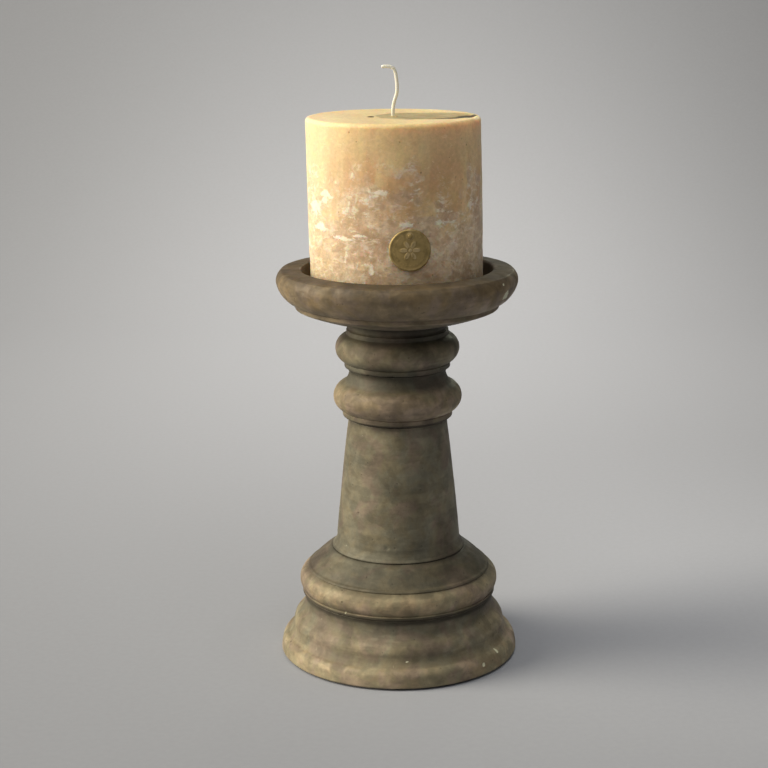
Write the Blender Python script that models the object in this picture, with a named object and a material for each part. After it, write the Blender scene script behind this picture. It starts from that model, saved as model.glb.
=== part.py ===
"""Turned pedestal holder for one pillar candle, with its candle.

Six turned wooden blocks are stacked on a steel tie rod: foot, base ring, column, two collars
and a dish. Each block has a spigot on top that seats in a socket under the next one. A nut
under the foot and the flange of the pricket in the dish floor pull the stack together. The
candle stands in the dish on the pricket and lifts off.

Metres, +Z up. The origin is on the turning axis, on the surface that the felt stands on.
"""

import math

import bmesh
import bpy
from mathutils import Vector

# Clearances
SEAM = 0.0003             # between two faces that touch
SPIGOT_CLEARANCE = 0.0004  # round a spigot in its socket
SPIGOT_END_GAP = 0.0005   # above a spigot in its socket
ROD_CLEARANCE = 0.0004    # round the tie rod
CANDLE_GAP = 0.0058       # round the candle in the dish
SPIKE_CLEARANCE = 0.0006  # round the spike in the wax
WICK_CLEARANCE = 0.0005   # round the wick in the wax
PIN_CLEARANCE = 0.0004    # round the medallion's pin

# Tie rod and what is on it
ROD_RADIUS = 0.0030
ROD_END = 0.0020          # how far the rod stands out of the nut
NUT_ACROSS_FLATS = 0.0100
NUT_HEIGHT = 0.0050
WASHER_RADIUS = 0.0090
WASHER_THICKNESS = 0.0016
SPANNER_ROOM = 0.0060     # round the washer in its recess
NUT_RECESS_DEPTH = 0.0190

# Spigots
BASE_SPIGOT_RADIUS = 0.0240
STEM_SPIGOT_RADIUS = 0.0140
SPIGOT_HEIGHT = 0.0100
SPIGOT_CHAMFER = 0.0008

# Felt ring under the foot
FELT_THICKNESS = 0.0020
FELT_PROUD = 0.0010
FELT_INSET = 0.0050       # from the foot's edge
FELT_RIM = 0.0050         # from the nut recess

# Foot
FOOT_HEIGHT = 0.0358
PLINTH_RADIUS = 0.0709
PLINTH_HEIGHT = 0.0106
PLINTH_SHOULDER = 0.0049  # how far the plinth's rounded shoulder draws in
BAND_RADIUS = 0.0633
BAND_BOTTOM = 0.0158
BAND_TOP = 0.0250
BAND_DRAW = 0.0044        # how far the band's top draws in
FOOT_NECK_RADIUS = 0.0563

# Base ring
RING_HEIGHT = 0.0282
RING_FILLET_RADIUS = 0.0578
RING_FILLET_HEIGHT = 0.0024
TORUS_TOP = 0.0151
TORUS_BULGE = 0.0030
RING_GROOVE_RADIUS = 0.0541
SHOULDER_TOP_RADIUS = 0.0400

# Column
COLUMN_HEIGHT = 0.0789
COLUMN_FOOT_RADIUS = 0.0396
COLUMN_LOW_RADIUS = 0.0365
COLUMN_FLARE_HEIGHT = 0.0074
COLUMN_TOP_RADIUS = 0.0288
COLUMN_SWELL = 0.0003

# Collars
LOWER_COLLAR_HEIGHT = 0.0300
LOWER_FILLET_RADIUS = 0.0325
LOWER_FILLET_HEIGHT = 0.0042
LOWER_BEAD_TOP = 0.0209
LOWER_BEAD_BULGE = 0.0053
COVE_RADIUS = 0.0285
COVE_HEIGHT = 0.0272
UPPER_COLLAR_HEIGHT = 0.0269
UPPER_FILLET_RADIUS = 0.0312
UPPER_FILLET_HEIGHT = 0.0030
UPPER_BEAD_TOP = 0.0195
UPPER_BEAD_BULGE = 0.0053
UPPER_RING_RADIUS = 0.0300
UPPER_RING_TOP = 0.0224
STEM_NECK_RADIUS = 0.0285

# Dish
DISH_HEIGHT = 0.0314
RECESS_DEPTH = 0.0134
RIM_WIDTH = 0.0143        # from the recess to the widest point of the side
RIM_FALL = 0.0011         # how far the rim's top falls towards its outer edge
DISH_CONE_HEIGHT = 0.0086
DISH_FILLET_HEIGHT = 0.0112
DISH_FILLET_INSET = 0.0108  # from the widest point
DISH_WIDEST = 0.0240      # height of the widest point

# Pricket
FLANGE_RADIUS = 0.0120
FLANGE_THICKNESS = 0.0030
HUB_RADIUS = 0.0058
HUB_LENGTH = 0.0040
ROD_SOCKET_DEPTH = 0.0052
SPIKE_RADIUS = 0.0026
SPIKE_HEIGHT = 0.0280
SPIKE_TIP_RADIUS = 0.0005

# Candle
CANDLE_RADIUS = 0.0500
CANDLE_HEIGHT = 0.1000
CANDLE_TOP_ROUND = 0.0026
CANDLE_BOTTOM_CHAMFER = 0.0012
WICK_RADIUS = 0.00095
WICK_START = 0.0030       # above the end of the spike's hole
# The wick out of the wax, from the top's centre: straight up, then leaning, with a bent tip.
WICK_ROUTE = (
    (0.0000, 0.0000), (0.0002, 0.0050), (0.0012, 0.0092), (0.0024, 0.0128), (0.0027, 0.0165),
    (0.0024, 0.0206), (0.0020, 0.0236), (0.0012, 0.0260), (-0.0004, 0.0274), (-0.0029, 0.0278),
    (-0.0058, 0.0277),
)
MEDALLION_RADIUS = 0.0117
MEDALLION_THICKNESS = 0.0010
MEDALLION_HEIGHT = 0.0310  # of its centre above the candle's underside
MEDALLION_TURN = math.radians(-81)  # round the candle from +X
PIN_HEIGHT = 0.0078       # of the pin above the medallion's centre
PIN_RADIUS = 0.0006
PIN_HEAD_RADIUS = 0.0015
PIN_HEAD_HEIGHT = 0.0008
PIN_DEPTH = 0.0080        # in the wax

# Facets
ROUND_SEGMENTS = 32
SMALL_SEGMENTS = 16
SHARP_ANGLE = math.radians(32)
CUTTER_OVERRUN = 0.0020

# The stack: each block's lowest face
FOOT_Z = FELT_PROUD
RING_Z = FOOT_Z + FOOT_HEIGHT + SEAM
COLUMN_Z = RING_Z + RING_HEIGHT + SEAM
LOWER_COLLAR_Z = COLUMN_Z + COLUMN_HEIGHT + SEAM
UPPER_COLLAR_Z = LOWER_COLLAR_Z + LOWER_COLLAR_HEIGHT + SEAM
DISH_Z = UPPER_COLLAR_Z + UPPER_COLLAR_HEIGHT + SEAM
DISH_FLOOR = DISH_HEIGHT - RECESS_DEPTH
FLOOR_Z = DISH_Z + DISH_FLOOR
CANDLE_Z = FLOOR_Z + SEAM
RECESS_RADIUS = CANDLE_RADIUS + CANDLE_GAP
DISH_RADIUS = RECESS_RADIUS + RIM_WIDTH
BORE_RADIUS = ROD_RADIUS + ROD_CLEARANCE
NUT_RECESS_RADIUS = WASHER_RADIUS + SPANNER_ROOM
FELT_POCKET_DEPTH = FELT_THICKNESS - FELT_PROUD + SEAM
WASHER_Z = FOOT_Z + NUT_RECESS_DEPTH - SEAM - WASHER_THICKNESS
NUT_Z = WASHER_Z - SEAM - NUT_HEIGHT
FLANGE_Z = FLOOR_Z - FLANGE_THICKNESS
HUB_Z = FLANGE_Z - HUB_LENGTH
SPIKE_HOLE_HEIGHT = SPIKE_HEIGHT + 2 * SPIKE_CLEARANCE


def clear_scene():
    for obj in list(bpy.data.objects):
        bpy.data.objects.remove(obj, do_unlink=True)


def finish(name, colour, roughness, metallic=0.0):
    """A plain Principled material."""
    material = bpy.data.materials.new(name)
    material.use_nodes = True
    shader = material.node_tree.nodes["Principled BSDF"]
    shader.inputs["Base Color"].default_value = (*colour, 1.0)
    shader.inputs["Roughness"].default_value = roughness
    shader.inputs["Metallic"].default_value = metallic
    return material


def bowed(start, end, rise, steps):
    """Points after start, up to end, on the arc whose middle stands rise off the chord.

    A positive rise bulges to the right of the direction of travel, which is outwards on an
    outline that runs up its outer side.
    """
    chord = Vector(end) - Vector(start)
    middle = (Vector(start) + Vector(end)) / 2
    side = Vector((chord.y, -chord.x)).normalized()
    half = chord.length / 2
    radius = (half**2 + rise**2) / (2 * rise)
    centre = middle + side * (rise - radius)
    sweep = 2 * math.asin(min(1.0, half / abs(radius)))
    if abs(rise) > half:
        sweep = 2 * math.pi - sweep
    points = []
    for step in range(1, steps + 1):
        angle = (step / steps - 0.5) * sweep
        along = chord.normalized() * abs(radius) * math.sin(angle)
        out = side * radius * math.cos(angle)
        points.append(tuple(centre + along + out))
    return points


def outline(*stretches):
    """An outline of (radius, height) points. (radius, height, rise, steps) ends an arc."""
    points = [stretches[0]]
    for stretch in stretches[1:]:
        if len(stretch) == 2:
            points.append(stretch)
        else:
            radius, height, rise, steps = stretch
            points += bowed(points[-1], (radius, height), rise, steps)
    return points


def object_of(name, mesh, material, parent, place=(0, 0, 0), turn=(0, 0, 0)):
    mesh.materials.append(material)
    obj = bpy.data.objects.new(name, mesh)
    bpy.context.scene.collection.objects.link(obj)
    obj.parent = parent
    obj.location = place
    obj.rotation_euler = turn
    return obj


def smooth_mesh(name, shape):
    """A mesh of the bmesh with its normals out, smooth but for its sharp edges."""
    bmesh.ops.recalc_face_normals(shape, faces=shape.faces)
    mesh = bpy.data.meshes.new(name)
    shape.to_mesh(mesh)
    shape.free()
    mesh.shade_smooth()
    mesh.set_sharp_from_angle(angle=SHARP_ANGLE)
    return mesh


def turned_mesh(name, points, closed, segments=ROUND_SEGMENTS):
    """The outline spun round Z. An open outline starts and ends on the axis."""
    shape = bmesh.new()
    verts = [shape.verts.new((radius, 0, height)) for radius, height in points]
    edges = [shape.edges.new(pair) for pair in zip(verts, verts[1:])]
    if closed:
        edges.append(shape.edges.new((verts[-1], verts[0])))
    bmesh.ops.spin(
        shape,
        geom=verts + edges,
        cent=(0, 0, 0),
        axis=(0, 0, 1),
        angle=2 * math.pi,
        steps=segments,
        use_merge=True,
    )
    bmesh.ops.remove_doubles(shape, verts=shape.verts, dist=1e-6)
    return smooth_mesh(name, shape)


def turned(name, points, material, parent, z, closed=True, segments=ROUND_SEGMENTS):
    mesh = turned_mesh(name, points, closed, segments)
    return object_of(name, mesh, material, parent, (0, 0, z))


def spigot(radius, top):
    """The top of a block, from its seat in to its bore."""
    height = top + SPIGOT_HEIGHT
    return [
        (radius, top),
        (radius, height - SPIGOT_CHAMFER),
        (radius - SPIGOT_CHAMFER, height),
        (BORE_RADIUS, height),
    ]


def socket(radius):
    """The underside of a block, from its bore out to its lowest face."""
    height = SPIGOT_HEIGHT + SPIGOT_END_GAP
    wide = radius + SPIGOT_CLEARANCE
    return [(BORE_RADIUS, height), (wide, height), (wide, 0)]


def cut(target, cutter):
    cutter.hide_render = True
    cutter.display_type = "WIRE"
    difference = target.modifiers.new("cut_" + cutter.name, "BOOLEAN")
    difference.operation = "DIFFERENCE"
    difference.solver = "EXACT"
    difference.object = cutter


def make_felt(material, parent):
    outer = PLINTH_RADIUS - FELT_INSET
    inner = NUT_RECESS_RADIUS + FELT_RIM
    points = [(outer, 0), (outer, FELT_THICKNESS), (inner, FELT_THICKNESS), (inner, 0)]
    turned("base_felt", points, material, parent, 0)


def make_foot(material, parent):
    edge = 0.0011
    pocket = PLINTH_RADIUS - FELT_INSET + SEAM
    side = outline(
        (PLINTH_RADIUS - edge, 0),
        (PLINTH_RADIUS, edge, 0.0003, 2),
        (PLINTH_RADIUS - 0.0008, PLINTH_HEIGHT - 0.0045),
        (PLINTH_RADIUS - PLINTH_SHOULDER, PLINTH_HEIGHT, 0.0009, 4),
        (BAND_RADIUS, BAND_BOTTOM, -0.0005, 3),
        (BAND_RADIUS - 0.0002, BAND_BOTTOM + 0.0024),
        (BAND_RADIUS - BAND_DRAW, BAND_TOP, 0.0008, 3),
        (FOOT_NECK_RADIUS, BAND_TOP + 0.0056, -0.0005, 3),
        (FOOT_NECK_RADIUS, FOOT_HEIGHT),
    )
    inside = [
        (BORE_RADIUS, NUT_RECESS_DEPTH),
        (NUT_RECESS_RADIUS, NUT_RECESS_DEPTH),
        (NUT_RECESS_RADIUS, FELT_POCKET_DEPTH),
        (pocket, FELT_POCKET_DEPTH),
        (pocket, 0),
    ]
    points = side + spigot(BASE_SPIGOT_RADIUS, FOOT_HEIGHT) + inside
    turned("foot", points, material, parent, FOOT_Z)


def make_base_ring(material, parent):
    fillet = RING_FILLET_RADIUS
    groove = TORUS_TOP + 0.0004
    side = outline(
        (fillet - 0.0012, 0),
        (fillet, 0.0005),
        (fillet, RING_FILLET_HEIGHT),
        (fillet - 0.0008, RING_FILLET_HEIGHT + 0.0003),
        (fillet - 0.0004, RING_FILLET_HEIGHT + 0.0006),
        (RING_GROOVE_RADIUS + 0.0009, TORUS_TOP, TORUS_BULGE, 8),
        (RING_GROOVE_RADIUS, groove),
        (RING_GROOVE_RADIUS + 0.0005, groove + 0.0005),
        (RING_GROOVE_RADIUS - 0.0015, groove + 0.0020, 0.0003, 2),
        (SHOULDER_TOP_RADIUS, RING_HEIGHT, 0.0006, 4),
    )
    points = side + spigot(STEM_SPIGOT_RADIUS, RING_HEIGHT) + socket(BASE_SPIGOT_RADIUS)
    turned("base_ring", points, material, parent, RING_Z)


def make_column(material, parent):
    side = outline(
        (COLUMN_FOOT_RADIUS, 0),
        (COLUMN_FOOT_RADIUS - 0.0001, 0.0006),
        (COLUMN_LOW_RADIUS, COLUMN_FLARE_HEIGHT, -0.0009, 4),
        (COLUMN_TOP_RADIUS, COLUMN_HEIGHT, COLUMN_SWELL, 4),
    )
    points = side + spigot(STEM_SPIGOT_RADIUS, COLUMN_HEIGHT) + socket(STEM_SPIGOT_RADIUS)
    turned("column", points, material, parent, COLUMN_Z)


def collar_start(fillet_radius, fillet_height, undercut):
    """A collar's lowest stretch: its fillet and the notch under its bead."""
    return [
        (fillet_radius - undercut, 0),
        (fillet_radius - 0.0002, undercut * 0.4),
        (fillet_radius, fillet_height),
        (fillet_radius - 0.0005, fillet_height + 0.0003),
        (fillet_radius + 0.0003, fillet_height + 0.0006),
    ]


def make_lower_collar(material, parent):
    side = outline(
        *collar_start(LOWER_FILLET_RADIUS, LOWER_FILLET_HEIGHT, 0.0030),
        (LOWER_FILLET_RADIUS - 0.0002, LOWER_BEAD_TOP, LOWER_BEAD_BULGE, 8),
        (LOWER_FILLET_RADIUS - 0.0010, LOWER_BEAD_TOP + 0.0004),
        (COVE_RADIUS, COVE_HEIGHT, -0.0006, 4),
        (COVE_RADIUS + 0.0015, LOWER_COLLAR_HEIGHT, -0.0003, 2),
    )
    top = spigot(STEM_SPIGOT_RADIUS, LOWER_COLLAR_HEIGHT)
    points = side + top + socket(STEM_SPIGOT_RADIUS)
    turned("lower_collar", points, material, parent, LOWER_COLLAR_Z)


def make_upper_collar(material, parent):
    side = outline(
        *collar_start(UPPER_FILLET_RADIUS, UPPER_FILLET_HEIGHT, 0.0008),
        (UPPER_RING_RADIUS + 0.0006, UPPER_BEAD_TOP, UPPER_BEAD_BULGE, 8),
        (UPPER_RING_RADIUS, UPPER_BEAD_TOP + 0.0003),
        (UPPER_RING_RADIUS - 0.0001, UPPER_RING_TOP),
        (STEM_NECK_RADIUS, UPPER_RING_TOP + 0.0012, -0.0003, 2),
        (STEM_NECK_RADIUS, UPPER_COLLAR_HEIGHT),
    )
    top = spigot(STEM_SPIGOT_RADIUS, UPPER_COLLAR_HEIGHT)
    points = side + top + socket(STEM_SPIGOT_RADIUS)
    turned("upper_collar", points, material, parent, UPPER_COLLAR_Z)


def make_dish(material, parent):
    fillet = DISH_RADIUS - DISH_FILLET_INSET
    flange_pocket = FLANGE_RADIUS + SPIGOT_CLEARANCE
    pocket_floor = DISH_FLOOR - FLANGE_THICKNESS - SEAM
    hub_bore = HUB_RADIUS + SPIGOT_CLEARANCE
    socket_top = SPIGOT_HEIGHT + SPIGOT_END_GAP
    socket_radius = STEM_SPIGOT_RADIUS + SPIGOT_CLEARANCE
    side = outline(
        (STEM_NECK_RADIUS + 0.0023, 0),
        (fillet - 0.0005, DISH_CONE_HEIGHT - 0.0002, 0.0007, 4),
        (fillet, DISH_CONE_HEIGHT + 0.0003),
        (fillet, DISH_FILLET_HEIGHT),
        (fillet + 0.0013, DISH_FILLET_HEIGHT + 0.0004),
        (DISH_RADIUS, DISH_WIDEST, 0.0019, 6),
        (DISH_RADIUS - 0.0022, DISH_HEIGHT - RIM_FALL - 0.0006, 0.0007, 3),
        (DISH_RADIUS - 0.0036, DISH_HEIGHT - RIM_FALL, 0.0002, 2),
        (RECESS_RADIUS + 0.0011, DISH_HEIGHT),
        (RECESS_RADIUS, DISH_HEIGHT - 0.0010, 0.0003, 2),
        (RECESS_RADIUS - 0.0003, DISH_FLOOR + 0.0020),
        (RECESS_RADIUS - 0.0023, DISH_FLOOR, 0.0006, 2),
    )
    inside = [
        (flange_pocket, DISH_FLOOR),
        (flange_pocket, pocket_floor),
        (hub_bore, pocket_floor),
        (hub_bore, socket_top),
        (socket_radius, socket_top),
        (socket_radius, 0),
    ]
    turned("dish", side + inside, material, parent, DISH_Z)


def make_tie_rod(material, parent):
    low = NUT_Z - ROD_END
    high = HUB_Z + ROD_SOCKET_DEPTH - SEAM
    chamfer = ROD_RADIUS * 0.2
    length = high - low
    points = [
        (0, 0),
        (ROD_RADIUS - chamfer, 0),
        (ROD_RADIUS, chamfer),
        (ROD_RADIUS, length - chamfer),
        (ROD_RADIUS - chamfer, length),
        (0, length),
    ]
    turned("tie_rod", points, material, parent, low, False, SMALL_SEGMENTS)


def make_washer(material, parent):
    points = [
        (WASHER_RADIUS, 0),
        (WASHER_RADIUS, WASHER_THICKNESS),
        (BORE_RADIUS, WASHER_THICKNESS),
        (BORE_RADIUS, 0),
    ]
    turned("base_washer", points, material, parent, WASHER_Z, True, SMALL_SEGMENTS)


def make_nut(material, parent):
    shape = bmesh.new()
    corner = NUT_ACROSS_FLATS / 2 / math.cos(math.pi / 6)
    bmesh.ops.create_cone(
        shape, cap_ends=True, segments=6, radius1=corner, radius2=corner, depth=NUT_HEIGHT
    )
    mesh = smooth_mesh("base_nut", shape)
    nut = object_of("base_nut", mesh, material, parent, (0, 0, NUT_Z + NUT_HEIGHT / 2))
    bore_height = NUT_HEIGHT + 2 * CUTTER_OVERRUN
    bore = [(0, 0), (BORE_RADIUS, 0), (BORE_RADIUS, bore_height), (0, bore_height)]
    cutter = turned(
        "nut_bore", bore, material, parent, NUT_Z - CUTTER_OVERRUN, False, SMALL_SEGMENTS
    )
    cut(nut, cutter)


def make_pricket(material, parent):
    top = HUB_LENGTH + FLANGE_THICKNESS
    socket_radius = ROD_RADIUS + ROD_CLEARANCE
    points = [
        (0, ROD_SOCKET_DEPTH),
        (socket_radius, ROD_SOCKET_DEPTH),
        (socket_radius, 0),
        (HUB_RADIUS, 0),
        (HUB_RADIUS, HUB_LENGTH),
        (FLANGE_RADIUS, HUB_LENGTH),
        (FLANGE_RADIUS, top - 0.0004),
        (FLANGE_RADIUS - 0.0004, top),
        (SPIKE_RADIUS, top),
        (SPIKE_TIP_RADIUS, top + SPIKE_HEIGHT - SPIKE_TIP_RADIUS),
        (0, top + SPIKE_HEIGHT),
    ]
    turned("pricket", points, material, parent, HUB_Z, False, SMALL_SEGMENTS)


def make_wax(material, parent):
    wick_bore = WICK_RADIUS + WICK_CLEARANCE
    hole_top = SPIKE_TIP_RADIUS + SPIKE_CLEARANCE
    points = outline(
        (CANDLE_RADIUS - CANDLE_BOTTOM_CHAMFER, 0),
        (CANDLE_RADIUS, CANDLE_BOTTOM_CHAMFER),
        (CANDLE_RADIUS, CANDLE_HEIGHT - CANDLE_TOP_ROUND),
        (CANDLE_RADIUS - CANDLE_TOP_ROUND, CANDLE_HEIGHT, CANDLE_TOP_ROUND * 0.29, 3),
        (wick_bore, CANDLE_HEIGHT),
        (wick_bore, SPIKE_HOLE_HEIGHT + wick_bore),
        (hole_top, SPIKE_HOLE_HEIGHT),
        (SPIKE_RADIUS + SPIKE_CLEARANCE, 0),
    )
    wax = turned("candle_wax", points, material, parent, 0)
    depth = PIN_DEPTH + SEAM
    hole_radius = PIN_RADIUS + PIN_CLEARANCE
    length = depth + CUTTER_OVERRUN
    hole = [(0, 0), (hole_radius, 0), (hole_radius, length), (0, length)]
    mesh = turned_mesh("pin_hole", hole, False, 8)
    place = on_candle_side(CANDLE_RADIUS - depth)
    cut(wax, object_of("pin_hole", mesh, material, parent, place, PIN_TURN))


def on_candle_side(radius):
    """The point on the pin's axis at this radius, from the candle's underside."""
    return (
        radius * math.cos(MEDALLION_TURN),
        radius * math.sin(MEDALLION_TURN),
        MEDALLION_HEIGHT + PIN_HEIGHT,
    )


PIN_TURN = (0, math.pi / 2, MEDALLION_TURN)


def smooth_route(points, steps):
    """A smooth curve through the points, as a list of points."""
    ends = [points[0] * 2 - points[1], *points, points[-1] * 2 - points[-2]]
    route = []
    for before, start, end, after in zip(ends, ends[1:], ends[2:], ends[3:]):
        for step in range(steps):
            t = step / steps
            route.append(
                0.5
                * (
                    2 * start
                    + (end - before) * t
                    + (2 * before - 5 * start + 4 * end - after) * t**2
                    + (3 * start - before - 3 * end + after) * t**3
                )
            )
    return route + [points[-1]]


def make_wick(material, parent):
    start = SPIKE_HOLE_HEIGHT + WICK_START
    inside = [Vector((0, 0, start))]
    outside = [Vector((x, 0, CANDLE_HEIGHT + z)) for x, z in WICK_ROUTE]
    points = inside + smooth_route(outside, 3)
    curve = bpy.data.curves.new("wick", "CURVE")
    curve.dimensions = "3D"
    curve.bevel_depth = WICK_RADIUS
    curve.bevel_resolution = 2
    curve.use_fill_caps = True
    spline = curve.splines.new("POLY")
    spline.points.add(len(points) - 1)
    for place, point in zip(spline.points, points):
        place.co = (*point, 1.0)
    object_of("wick", curve, material, parent)


def make_medallion(material, parent):
    """A disc bent to the candle's side, made facing +X and turned into place."""
    spokes = 24
    rings = 3
    shape = bmesh.new()
    faces = []
    for radius in (
        CANDLE_RADIUS + SEAM,
        CANDLE_RADIUS + SEAM + MEDALLION_THICKNESS,
    ):
        grid = []
        for ring in range(1, rings + 1):
            size = MEDALLION_RADIUS * ring / rings
            row = []
            for spoke in range(spokes):
                angle = 2 * math.pi * spoke / spokes
                bend = size * math.cos(angle) / CANDLE_RADIUS
                place = (radius * math.cos(bend), radius * math.sin(bend), size * math.sin(angle))
                row.append(shape.verts.new(place))
            grid.append(row)
        centre = shape.verts.new((radius, 0, 0))
        for spoke in range(spokes):
            following = (spoke + 1) % spokes
            shape.faces.new((centre, grid[0][spoke], grid[0][following]))
            for low, high in zip(grid, grid[1:]):
                shape.faces.new((low[spoke], high[spoke], high[following], low[following]))
        faces.append(grid[-1])
    for spoke in range(spokes):
        following = (spoke + 1) % spokes
        back, front = faces
        shape.faces.new((back[spoke], front[spoke], front[following], back[following]))
    mesh = smooth_mesh("medallion", shape)
    place = (0, 0, MEDALLION_HEIGHT)
    medallion = object_of("medallion", mesh, material, parent, place, (0, 0, MEDALLION_TURN))
    hole_radius = PIN_RADIUS + PIN_CLEARANCE
    length = MEDALLION_THICKNESS + 2 * CUTTER_OVERRUN
    hole = [(0, 0), (hole_radius, 0), (hole_radius, length), (0, length)]
    mesh = turned_mesh("medallion_hole", hole, False, 8)
    place = on_candle_side(CANDLE_RADIUS - CUTTER_OVERRUN)
    cut(medallion, object_of("medallion_hole", mesh, material, parent, place, PIN_TURN))


def make_pin(material, parent):
    under_head = PIN_DEPTH + 2 * SEAM + MEDALLION_THICKNESS
    points = [
        (0, 0),
        (PIN_RADIUS, PIN_RADIUS * 2),
        (PIN_RADIUS, under_head),
        (PIN_HEAD_RADIUS, under_head),
        (PIN_HEAD_RADIUS * 0.8, under_head + PIN_HEAD_HEIGHT * 0.7),
        (0, under_head + PIN_HEAD_HEIGHT),
    ]
    mesh = turned_mesh("medallion_pin", points, False, 12)
    place = on_candle_side(CANDLE_RADIUS - PIN_DEPTH)
    object_of("medallion_pin", mesh, material, parent, place, PIN_TURN)


def empty(name, z):
    obj = bpy.data.objects.new(name, None)
    bpy.context.scene.collection.objects.link(obj)
    obj.location = (0, 0, z)
    return obj


def main():
    clear_scene()
    dark_wood = (0.150, 0.118, 0.080)
    pale_wood = (0.215, 0.165, 0.110)
    steel = finish("zinc_steel", (0.42, 0.42, 0.41), 0.38, 1.0)
    holder = empty("holder", 0)
    make_felt(finish("felt", (0.040, 0.045, 0.038), 0.95), holder)
    make_foot(finish("foot_wood", dark_wood, 0.62), holder)
    make_base_ring(finish("base_ring_wood", pale_wood, 0.58), holder)
    make_column(finish("column_wood", dark_wood, 0.62), holder)
    make_lower_collar(finish("lower_collar_wood", pale_wood, 0.58), holder)
    make_upper_collar(finish("upper_collar_wood", pale_wood, 0.58), holder)
    make_dish(finish("dish_wood", dark_wood, 0.60), holder)
    make_tie_rod(steel, holder)
    make_washer(steel, holder)
    make_nut(steel, holder)
    make_pricket(finish("pricket_steel", (0.20, 0.19, 0.18), 0.45, 1.0), holder)
    candle = empty("candle_lift_axis", CANDLE_Z)
    make_wax(finish("wax", (0.560, 0.420, 0.270), 0.50), candle)
    make_wick(finish("wick_braid", (0.800, 0.740, 0.560), 0.75), candle)
    brass = finish("aged_brass", (0.130, 0.105, 0.045), 0.42, 1.0)
    make_medallion(brass, candle)
    make_pin(brass, candle)


main()
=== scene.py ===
"""The looks of the turned candle holder and its candle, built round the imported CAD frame.

Each wooden block is turned again from its CAD node's own outline, at a finer step, with rounded
edges, small dents and chips. The candle, wick, medallion and hardware are detailed the same way.
"""

import math
import random
from math import cos, hypot, pi, radians, sin

import bmesh
import bpy
import numpy as np
from mathutils import Matrix, Vector, noise


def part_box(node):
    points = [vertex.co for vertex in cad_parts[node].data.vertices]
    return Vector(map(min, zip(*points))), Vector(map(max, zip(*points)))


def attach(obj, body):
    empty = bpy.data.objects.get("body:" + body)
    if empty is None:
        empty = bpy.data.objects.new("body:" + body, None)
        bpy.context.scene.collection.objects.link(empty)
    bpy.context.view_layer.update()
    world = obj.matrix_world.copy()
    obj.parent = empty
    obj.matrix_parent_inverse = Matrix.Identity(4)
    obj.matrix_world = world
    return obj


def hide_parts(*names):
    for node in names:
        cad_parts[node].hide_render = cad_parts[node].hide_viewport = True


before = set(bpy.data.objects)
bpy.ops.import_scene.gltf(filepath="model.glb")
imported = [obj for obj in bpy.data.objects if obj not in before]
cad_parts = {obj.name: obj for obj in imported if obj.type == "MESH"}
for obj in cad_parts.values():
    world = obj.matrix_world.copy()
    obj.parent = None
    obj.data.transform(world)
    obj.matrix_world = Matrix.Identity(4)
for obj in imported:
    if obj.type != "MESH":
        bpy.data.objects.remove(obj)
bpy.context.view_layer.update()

MM = 0.001
CAD_SIDES = 32            # facets round each CAD block
SMALL_CAD_SIDES = 16      # and round the rod, washer and pricket
CORNER = radians(34)  # a sharper turn in an outline is a corner, and gets a small round
CORNER_ROOM = 0.4         # the share of a side next to a corner that its round may take
STRAIGHT = 0.004 * MM     # a point that is off its neighbours' chord by less adds nothing
HIDDEN_STEP = 8           # how much coarser an outline is where it is hidden

# Each block's slot, its number of small nicks, and the radius inside which it is hidden.
BLOCKS = {
    "foot": ("dark_wood", 34, 0.055), "base_ring": ("pale_wood", 22, 0.0385),
    "column": ("dark_wood", 16, 0.028), "lower_collar": ("pale_wood", 12, 0.0278),
    "upper_collar": ("pale_wood", 10, 0.0278), "dish": ("dark_wood", 26, 0.028),
}
BLOCK_SIDES = 256
CANDLE_SIDES = 304
OUTLINE_STEP = 0.45 * MM
EDGE_ROUND = 0.55 * MM

WAX_LOW, WAX_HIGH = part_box("candle_wax")
CANDLE_RADIUS = WAX_HIGH.x
CANDLE_TOP = WAX_HIGH.z
CANDLE_BASE = WAX_LOW.z
CANDLE_LEAN = -math.tan(radians(1.0))  # of the candle's axis, towards -X as it rises


# ---- outlines

def cut_outline(node, sides):
    """The CAD node's (radius, height) outline, from a cut between two of its vertex planes."""
    half = pi / sides
    shape = bmesh.new()
    shape.from_mesh(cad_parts[node].data)
    bmesh.ops.remove_doubles(shape, verts=shape.verts, dist=1e-6)
    result = bmesh.ops.bisect_plane(
        shape,
        geom=shape.verts[:] + shape.edges[:] + shape.faces[:],
        plane_co=(0, 0, 0),
        plane_no=(-sin(half), cos(half), 0),
        dist=1e-7,
    )
    shape.verts.index_update()
    shape.verts.ensure_lookup_table()
    links = {}
    for edge in result["geom_cut"]:
        if isinstance(edge, bmesh.types.BMEdge):
            if min(vert.co.x for vert in edge.verts) > -1e-7:
                start, end = (vert.index for vert in edge.verts)
                links.setdefault(start, set()).add(end)
                links.setdefault(end, set()).add(start)
    place = {
        index: Vector((hypot(*shape.verts[index].co.xy) / cos(half),
                       shape.verts[index].co.z))
        for index in links
    }
    loose = [index for index in links if len(links[index]) == 1]
    first = loose[0] if loose else min(links, key=lambda index: (place[index].y, -place[index].x))
    chain = [first]
    while True:
        following = [index for index in sorted(links[chain[-1]]) if index not in chain]
        if not following:
            break
        chain.append(following[0])
    points = [place[index] for index in chain]
    shape.free()
    closed = not loose
    if closed:
        area = sum(a.x * b.y - b.x * a.y for a, b in zip(points, points[1:] + points[:1]))
    else:
        area = points[-1].y - points[0].y
    if area < 0:
        points = [points[0], *reversed(points[1:])] if closed else points[::-1]
    return without_straight_points(points, closed), closed


def without_straight_points(points, closed):
    """The outline without the points that lie on a straight stretch of it."""
    kept = []
    count = len(points)
    for index, point in enumerate(points):
        if not closed and index in (0, count - 1):
            kept.append(point)
            continue
        before = kept[-1] if kept else points[index - 1]
        chord = points[(index + 1) % count] - before
        side = Vector((chord.y, -chord.x)).normalized()
        if abs((point - before).dot(side)) > STRAIGHT or chord.length < 1e-7:
            kept.append(point)
    return kept


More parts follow.
